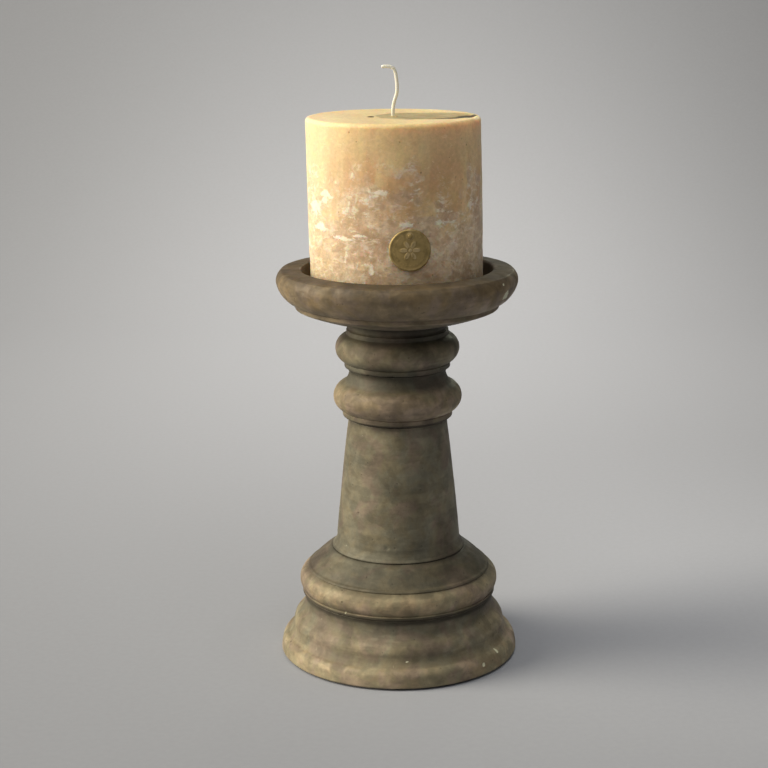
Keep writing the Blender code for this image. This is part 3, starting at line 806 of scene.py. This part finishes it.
def candle_top(x, y):
    """(sunk, pool, and the painted shadow in the crack and pit) at a place on the candle's top."""
    out = hypot((x - POOL_CENTRE.x) / POOL_SIZE.x, (y - POOL_CENTRE.y) / POOL_SIZE.y)
    out += 0.07 * ripple((x, y, 0), 9 * MM, 4) + 0.03 * ripple((x, y, 0), 3 * MM, 5)
    inside = 1 - eased(out, 0.9, 1.0)
    far, along = from_crack(x, y)
    width = CRACK_WIDTH * (0.25 + 0.75 * eased(along, 0.0, 0.6))
    far *= 1 + 0.5 * ripple((x, y, 0), 4 * MM, 12)
    crack = inside * (1 - eased(far, 0.35 * width, width))
    pit = max(0.0, 1 - hypot((x - PIT_AT.x) / PIT_SIZE.x, (y - PIT_AT.y) / PIT_SIZE.y))
    sunk = POOL_DEPTH * inside + CRACK_DEPTH * crack + PIT_DEPTH * eased(pit, 0.0, 0.7)
    return sunk, inside, max(crack, eased(pit, 0.05, 0.35))


def faded_at(angle):
    """How much painted light makes the wax paler on that side, from the middle of its lit side."""
    across = (angle - radians(PAINTED_LIT_SIDE[0]) + pi) % (2 * pi) - pi
    return 1 - eased(abs(across), 0.0, radians(PAINTED_LIT_SIDE[1]))


def frost_at(angle, height):
    """How frosted the side is at a place, from the places in FROST."""
    frost = 0.0
    for turn, level, wide, tall in FROST:
        if abs(height / MM - level) > 3 * tall:
            continue
        across = (angle - radians(turn) + pi) % (2 * pi) - pi
        far = (across * CANDLE_RADIUS / MM / wide) ** 2 + ((height / MM - level) / tall) ** 2
        frost = max(frost, math.exp(-far))
    return frost


def make_wax():
    """The pillar: its top with pool, crack and pit, its waved and dug sides, and its lean."""
    edge = CANDLE_RADIUS * 0.9
    fine, normals, _ = turning(
        "candle_wax", CAD_SIDES, 0.55 * MM, 0.8 * MM,
        lambda point: point.x > CANDLE_RADIUS / 2 or point.y > CANDLE_TOP - MM,
    )
    pool, crack, frost, faded = [], [], [], []

    def place(angle, at):
        radius, height = fine[at]
        spot = turned(radius, angle, height)
        frost.append(frost_at(angle, height) if radius > edge else 0.0)
        faded.append(faded_at(angle) * eased(radius, 0.4 * CANDLE_RADIUS, 0.9 * CANDLE_RADIUS))
        if height > CANDLE_TOP - 0.2 * MM and radius > 1.6 * MM:
            sunk, inside, crack_and_pit_shadow = candle_top(spot[0], spot[1])
            inner = eased(CANDLE_RADIUS - radius, 2.0 * MM, 5.0 * MM)
            meniscus = 0.9 * MM * math.exp(-((radius - 1.4 * MM) / (1.7 * MM)) ** 2)
            wave = 0.22 * MM * ripple(spot, 12 * MM, 6) + 0.08 * MM * ripple(spot, 4 * MM, 7)
            pool.append(inside * eased(CANDLE_RADIUS - radius, 1.0 * MM, 2.5 * MM))
            # The crack and the pit are painted dark as their shadow.
            crack.append(crack_and_pit_shadow * eased(CANDLE_RADIUS - radius, 0.6 * MM, 2.0 * MM))
            return radius, height - 0.35 * MM * inner - sunk * inner + (wave + meniscus) * inner
        pool.append(0.0)
        crack.append(0.0)
        if radius < edge:
            return radius, height
        rise = height - CANDLE_BASE
        out = 0.3 * MM * ripple(spot, 30 * MM, 8) + 0.12 * MM * ripple(spot, 9 * MM, 9)
        low = 1 - eased(rise, 35 * MM, 70 * MM)
        dig = ripple(spot, 3.2 * MM, 10) + 0.5 * ripple(spot, 1.5 * MM, 11)
        out += low * (0.1 * MM * dig - 0.16 * MM * max(0.0, dig - 0.45))
        out *= eased(rise, 0.0, 2.0 * MM)
        return radius + normals[at, 0] * out, height + normals[at, 1] * out

    mesh = lathe("candle_pillar", fine, True, CANDLE_SIDES, place)
    for vert in mesh.vertices:      # all but the hole for the spike
        if vert.co.z > CANDLE_BASE + SPIKE_HOLE or hypot(*vert.co.xy) > 5 * MM:
            vert.co = leaned(vert.co)
    set_values(mesh, pool=pool, crack=crack, frost=frost, faded=faded)
    linked(mesh, wax_finish(), "candle", "candle_wax")


# The wick out of the wax, from the top's centre, as the CAD has it.
WICK_ROUTE = (
    (0.0, 0.0), (0.0002, 0.005), (0.0012, 0.0092), (0.0024, 0.0128), (0.0027, 0.0165),
    (0.0024, 0.0206), (0.002, 0.0236), (0.0012, 0.026), (-0.0004, 0.0274), (-0.0029, 0.0278),
    (-0.0058, 0.0277),
)
STRANDS = 3
STRAND_RADIUS = 0.66 * MM
BRAID_LENGTH = 4.2 * MM
BRAID_WIDE, BRAID_DEEP = 0.36 * MM, 0.26 * MM


def make_wick():
    """Three strands braided along the route, from inside the wax to the bent tip."""
    low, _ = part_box("wick")
    inside = [Vector((0, 0, height)) for height in np.linspace(low.z, CANDLE_TOP - 4 * MM, 8)]
    outside = [Vector((x, 0, CANDLE_TOP + z)) for x, z in WICK_ROUTE]
    centre = smooth_path([leaned(point) for point in inside + outside], 14)
    travelled = [0.0]
    for start, end in zip(centre, centre[1:]):
        travelled.append(travelled[-1] + (end - start).length)
    verts, faces = [], []
    for strand in range(STRANDS):
        path = []
        for at, point in enumerate(centre):
            ahead = (centre[min(at + 1, len(centre) - 1)] - centre[max(at - 1, 0)]).normalized()
            across = Vector((0, 1, 0)).cross(ahead).normalized()
            turn = 2 * pi * (travelled[at] / BRAID_LENGTH + strand / STRANDS)
            wide, deep = BRAID_WIDE * sin(turn), BRAID_DEEP * sin(2 * turn)
            path.append(point + across * wide + Vector((0, 1, 0)) * deep)
        rows = tube(path, lambda share: STRAND_RADIUS * (1 - 0.35 * eased(share, 0.985, 1)), 10)
        mesh = grid_mesh("strand", rows, False)
        first = len(verts)
        verts += [tuple(vert.co) for vert in mesh.vertices]
        faces += [[first + index for index in face.vertices] for face in mesh.polygons]
        bpy.data.meshes.remove(mesh)
    mesh = bpy.data.meshes.new("wick_braid")
    mesh.from_pydata(verts, [], faces)
    linked(mesh, wick_finish(), "candle", "wick")


# ---- the medallion

MEDALLION_TURN = radians(-81)
PETALS = 6
BEADS = 28
MEDALLION_RIM = 0.86      # where the raised rim starts, as a share of the disc
MEDALLION_BACK = CANDLE_RADIUS + 0.3 * MM     # from the candle's axis
MEDALLION_FACE = MEDALLION_BACK + 0.62 * MM
RELIEF = 0.34 * MM
EYELET = 1.75 * MM
RINGS, SPOKES = 64, 168
PIN_LENGTH = 8.0 * MM
PIN_HEAD, PIN_SHANK = 1.45 * MM, 0.55 * MM     # radii


def medallion_relief(share, angle):
    """How far the face stands out at a place on the disc, from 0 to 1."""
    rim = 0.45 * eased(share, MEDALLION_RIM, MEDALLION_RIM + 0.05) * (1 - eased(share, 0.95, 1.0))
    petal = abs(cos(PETALS / 2 * angle)) ** 0.7 * 0.52
    flower = 0.75 * (1 - eased(share, petal - 0.07, petal + 0.01)) * eased(share, 0.1, 0.16)
    vein = 0.35 * max(0.0, 1 - abs(sin(PETALS / 2 * angle)) * share / 0.035)
    boss = math.sqrt(max(0.0, 1 - (share / 0.11) ** 2))
    bead = cos(BEADS * angle) * max(0.0, 1 - abs(share - 0.74) / 0.05)
    return max(rim, flower - vein * flower, boss, 0.55 * max(0.0, bead))


def medallion_disc(size, hole_at):
    """The disc bent to the wax, with its relief and an eyelet round the pin's place."""
    rows, raised = [], []

    def bent(out, share, angle):
        bend = size * share * cos(angle) / CANDLE_RADIUS
        return Vector((out * cos(bend), out * sin(bend), size * share * sin(angle)))

    def row_at(share, out_at):
        angles = [2 * pi * spoke / SPOKES for spoke in range(SPOKES)]
        return [bent(out_at(angle), share, angle) for angle in angles]

    def face_out(share, angle):
        relief = medallion_relief(share, angle)
        eye = hypot(size * share * cos(angle), size * share * sin(angle) - hole_at)
        ring = 1 - min(1.0, abs(eye - EYELET) / (0.45 * MM))
        relief = max(relief * eased(eye, 2.1 * MM, 2.7 * MM), ring)
        raised.append(relief)
        round_edge = 0.22 * MM * eased(share, 0.955, 1.0)
        return MEDALLION_FACE + RELIEF * relief - round_edge

    rows.append([bent(MEDALLION_BACK, 0, 0)])
    raised.append(0.0)
    for share in (0.4, 0.8, 0.97):
        rows.append(row_at(share, lambda angle: MEDALLION_BACK))
        raised += [0.0] * SPOKES
    rows.append(row_at(1.0, lambda angle: MEDALLION_BACK + 0.12 * MM))
    raised += [0.3] * SPOKES
    for ring in range(RINGS, 0, -1):
        share = ring / RINGS
        rows.append(row_at(share, lambda angle, share=share: face_out(share, angle)))
    rows.append([bent(MEDALLION_FACE + RELIEF, 0, 0)])
    raised.append(1.0)
    mesh = grid_mesh("disc", rows, False)
    set_values(mesh, raised=raised)
    return mesh


def on_candle(height, out=0.0):
    """Where the medallion and its pin go: turned round the candle, and out along a radius."""
    place = Matrix.Translation((0, 0, height)) @ Matrix.Rotation(MEDALLION_TURN, 4, "Z")
    if out:
        place = place @ Matrix.Translation((out, 0, 0)) @ Matrix.Rotation(pi / 2, 4, "Y")
    return place


def pierced(mesh, hole_height):
    """The disc with the hole for the pin cut through it."""
    disc = added("disc", mesh)
    outline = [(0, 0), (1.0 * MM, 0), (1.0 * MM, 8 * MM), (0, 8 * MM)]
    cutter_mesh = lathe("cutter", outline, False, 32)
    cutter_mesh.transform(on_candle(hole_height, CANDLE_RADIUS - 4 * MM))
    cutter = added("cutter", cutter_mesh)
    disc.modifiers.new("hole", "BOOLEAN").object = cutter
    graph = bpy.context.evaluated_depsgraph_get()
    cut = bpy.data.meshes.new_from_object(disc.evaluated_get(graph))
    bpy.data.objects.remove(disc)
    bpy.data.objects.remove(cutter)
    cut.materials.clear()
    cut.name = "brass_medallion"
    return cut


def make_medallion():
    """The pierced brass disc, and the pin through its hole."""
    low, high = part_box("medallion")
    centre = (low.z + high.z) / 2
    pin_low, pin_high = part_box("medallion_pin")
    hole_at = (pin_low.z + pin_high.z) / 2 - centre
    mesh = medallion_disc((high.z - low.z) / 2, hole_at)
    mesh.transform(on_candle(centre))
    mesh = pierced(mesh, centre + hole_at)
    lean(mesh)
    material = brass_finish()
    linked(mesh, material, "candle", "medallion")
    make_pin(material, centre + hole_at)


def make_pin(material, height):
    """A small nail with a domed head, pushed through the medallion into the wax."""
    start = CANDLE_RADIUS - PIN_LENGTH
    top = MEDALLION_FACE + 0.2 * MM - start
    outline = [(0, 0), (PIN_SHANK, 1.2 * MM), (PIN_SHANK, top), (PIN_HEAD, top)]
    for step in range(1, 7):
        angle = pi / 2 * step / 6
        dome = top + 0.25 * MM + 0.55 * MM * sin(angle)
        outline.append((PIN_HEAD * cos(angle) if step < 6 else 0, dome))
    mesh = lathe("brass_pin", outline, False, 36)
    set_values(mesh, raised=[0.0] * len(mesh.vertices))
    mesh.transform(on_candle(height, start))
    lean(mesh)
    linked(mesh, material, "candle", "medallion_pin")


# ---- hardware and felt

HARDWARE_SIDES = 72
THREAD_PITCH = 1.0 * MM
THREAD_DEPTH = 0.3 * MM
THREAD_STEPS = 6          # rows of points along each turn of the thread


def make_turned_hardware(name, node, material, edge_round):
    """A washer or a spike turned again from its CAD node's outline, with rounded edges."""
    fine, _, closed = turning(node, SMALL_CAD_SIDES, 0.5 * MM, edge_round)
    mesh = lathe(name, fine, closed, HARDWARE_SIDES)
    linked(mesh, material, "holder", node)


def make_rod(material):
    """The tie rod, threaded over its whole length."""
    low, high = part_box("tie_rod")
    radius = high.x
    count = int((high.z - low.z) / THREAD_PITCH * THREAD_STEPS)
    outline = [(0, low.z)]
    outline += [(radius, low.z + (high.z - low.z) * step / count) for step in range(count + 1)]
    outline.append((0, high.z))

    def place(angle, at):
        height = outline[at][1]
        wave = (height - low.z) / THREAD_PITCH - angle / (2 * pi)
        valley = abs(2 * (wave % 1) - 1)
        ends = eased(min(height - low.z, high.z - height), 0.0, 1.2 * MM)
        return radius - THREAD_DEPTH * (1 - valley * ends), height

    mesh = lathe("threaded_rod", outline, False, 32, place)
    linked(mesh, material, "holder", "tie_rod")


def make_nut(material):
    """A hexagon nut with its corners turned off and a countersunk bore."""
    low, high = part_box("base_nut")
    wide, deep, tall = high - low
    flat = min(wide, deep) / 2
    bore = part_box("tie_rod")[1].x + 0.4 * MM
    first_flat = 0.0 if wide < deep else pi / 6
    levels = ((bore + 0.5 * MM, 0.0), (flat * 0.97, 0.0), (flat * 1.16, 0.1), (flat * 1.16, 0.9),
              (flat * 0.97, 1.0), (bore + 0.5 * MM, 1.0), (bore, 0.88), (bore, 0.12))

    def place(angle, at):
        reach, share = levels[at]
        if at in (1, 2, 3, 4):
            turn = (angle - first_flat + pi / 6) % (pi / 3) - pi / 6
            reach = min(reach, flat / cos(turn))
        return reach, low.z + tall * share

    mesh = lathe("hexagon_nut", [(reach, low.z + tall * share) for reach, share in levels],
                 True, 96, place)
    linked(mesh, material, "holder", "base_nut")
    mesh.set_sharp_from_angle(angle=radians(28))


def make_felt(material):
    """The felt ring, with a slightly fuzzy side."""
    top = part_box("base_felt")[1].z
    fine, normals, _ = turning("base_felt", CAD_SIDES, 1.1 * MM, 0.5 * MM)

    def place(angle, at):
        radius, height = fine[at]
        spot = turned(radius, angle, height)
        out = 0.12 * MM * ripple(spot, 1.6 * MM, 21) * eased(height, 0.1 * MM, 0.8 * MM)
        out = out if height < top - 0.3 * MM else 0.0
        return radius + normals[at, 0] * out, height + normals[at, 1] * min(out, 0.0)

    mesh = lathe("felt_ring", fine, True, 224, place)
    linked(mesh, material, "holder", "base_felt")


# ---- stage

def make_camera():
    """A little above the object's top, looking down at it."""
    camera = bpy.data.cameras.new("camera")
    camera.sensor_width = 36
    camera.lens = 82.9
    obj = added("camera", camera)
    obj.matrix_world = (
        Matrix.Translation((0.0, -1.012, 0.4115))
        @ Matrix.Rotation(radians(0.45), 4, "Z")
        @ Matrix.Rotation(radians(90 - 13.75), 4, "X")
        @ Matrix.Rotation(radians(-0.4), 4, "Z")
    )
    bpy.context.scene.camera = obj


def put_light(light, place, aim, power, colour):
    light.energy = power
    light.color = colour
    obj = added(light.name, light)
    obj.location = place
    obj.rotation_euler = (Vector(aim) - Vector(place)).to_track_quat("-Z", "Y").to_euler()
    return obj


def make_panel(name, place, aim, power, colour, wide, tall):
    """A large soft light that the camera doesn't see."""
    light = bpy.data.lights.new(name, "AREA")
    light.shape = "RECTANGLE"
    light.size = wide
    light.size_y = tall
    put_light(light, place, aim, power, colour).visible_camera = False


def make_spot(name, place, aim, power, colour, radius, cone):
    light = bpy.data.lights.new(name, "SPOT")
    light.shadow_soft_size = radius
    light.spot_size = radians(cone)
    light.spot_blend = 1.0
    put_light(light, place, aim, power, colour)


PAPER_EDGE, PAPER_PAINTED_POOL = 0.28, 0.42           # the paper's lightness far out, and the painted pool of light that its middle adds
PAPER_MIDDLE = Vector((0.04, 1.0))           # the painted pool's middle, across and along the sheet, from under the object
PAPER_REACH = Vector((0.48, 0.95))
PAPER_TINT = (0.8, 0.85, 1.0)            # cool, so that the warm light leaves it grey
SWEEP_FLAT, SWEEP_BEND = 0.95, 1.1            # where its flat part ends, and its curve's radius
SWEEP_WIDTH, SWEEP_TALL = 12.0, 5.0
SWEEP_LEFT = -4.4                             # short of the key light


def paper_tone(across, along):
    """The painted pool of light on the paper at a place on the sheet: lightest behind the object."""
    far = hypot((across - PAPER_MIDDLE.x) / PAPER_REACH.x,
                     (along - PAPER_MIDDLE.y) / PAPER_REACH.y)
    return PAPER_EDGE + PAPER_PAINTED_POOL * math.exp(-far * far)


def make_floor():
    """A pale sweep of paper graduated by a painted pool of light: flat under the object, then curving
    up behind it.
    """
    line = [(y, 0.0) for y in np.arange(-SWEEP_WIDTH, -1.0, 0.5)]
    line += [(y, 0.0) for y in np.arange(-1.0, SWEEP_FLAT, 0.04)]
    for turn in np.linspace(0.0, pi / 2, 40):
        rise = SWEEP_BEND - SWEEP_BEND * cos(turn)
        line.append((SWEEP_FLAT + SWEEP_BEND * sin(turn), rise))
    line.append((SWEEP_FLAT + SWEEP_BEND, SWEEP_TALL))
    sides = SWEEP_WIDTH * np.sinh(np.linspace(-3, 3, 81)) / math.sinh(3)
    sides = sides[sides > SWEEP_LEFT]
    rows = [[(x, y, z) for x in sides] for y, z in line]
    along = [line[0][0]]
    for start, end in zip(line, line[1:]):
        along.append(along[-1] + math.dist(start, end))
    mesh = grid_mesh("sweep", rows, False, wrap=False)
    set_values(mesh, tone=[paper_tone(x, far) for far in along for x in sides])
    mesh.shade_smooth()
    f = Finish("pale_paper")
    grain = f.noise(0.004, 5, 0.6)
    # The paper's colour carries the painted pool of light, with a faint grain.
    light = f.times(f.attribute("tone"), f.spread(grain, 0.985, 1.015))
    f.set(Base_Color=f.shaded(PAPER_TINT, light), Roughness=0.85, Normal=f.bumps((grain, 0.0001, 0.2)))
    mesh.materials.append(f.material)
    added("sweep", mesh)


def make_world():
    """A dim, slightly warm surround."""
    world = bpy.data.worlds.new("studio")
    world.use_nodes = True
    background = world.node_tree.nodes["Background"]
    background.inputs["Color"].default_value = (1.0, 0.965, 0.88, 1.0)
    background.inputs["Strength"].default_value = 0.18
    bpy.context.scene.world = world


def make_stage():
    make_camera()
    make_world()
    make_floor()
    make_panel("key", (-5.2, -0.5, 3.1), (0, 0, 0.17), 660.0, (1.0, 0.905, 0.71), 3.4, 6.4)
    make_panel("top", (0.2, -1.6, 3.2), (0, 0, 0.1), 28.0, (1.0, 0.97, 0.9), 2.5, 2.5)
    make_spot("rim", (0.52, 1.75, 0.65), (0, 0, 0.22), 9.0, (0.95, 1.0, 0.76), 0.1, 17)
    make_spot("floor_fill", (0.42, 0.0, 1.5), (0.26, 0.04, 0), 50.0, (1.0, 0.94, 0.8), 0.25, 18)
    bpy.context.scene.view_settings.view_transform = "Standard"


def main():
    make_stage()
    washes = {"dark_wood": wash_finish("dark_wash"), "pale_wood": wash_finish("pale_wash")}
    for number, (block, entry) in enumerate(block_outlines().items()):
        make_block(block, entry, number + 1, washes[BLOCKS[block][0]])
    make_wax()
    make_wick()
    make_medallion()
    zinc = steel_finish("dull_zinc", (0.52, 0.52, 0.5), (0.36, 0.36, 0.35), 0.34, 0.5)
    black = steel_finish("black_steel", (0.17, 0.16, 0.15), (0.09, 0.085, 0.08), 0.4, 0.58)
    make_rod(zinc)
    make_turned_hardware("flat_washer", "base_washer", zinc, 0.25 * MM)
    make_nut(zinc)
    make_turned_hardware("spiked_flange", "pricket", black, 0.3 * MM)
    make_felt(felt_finish())


main()
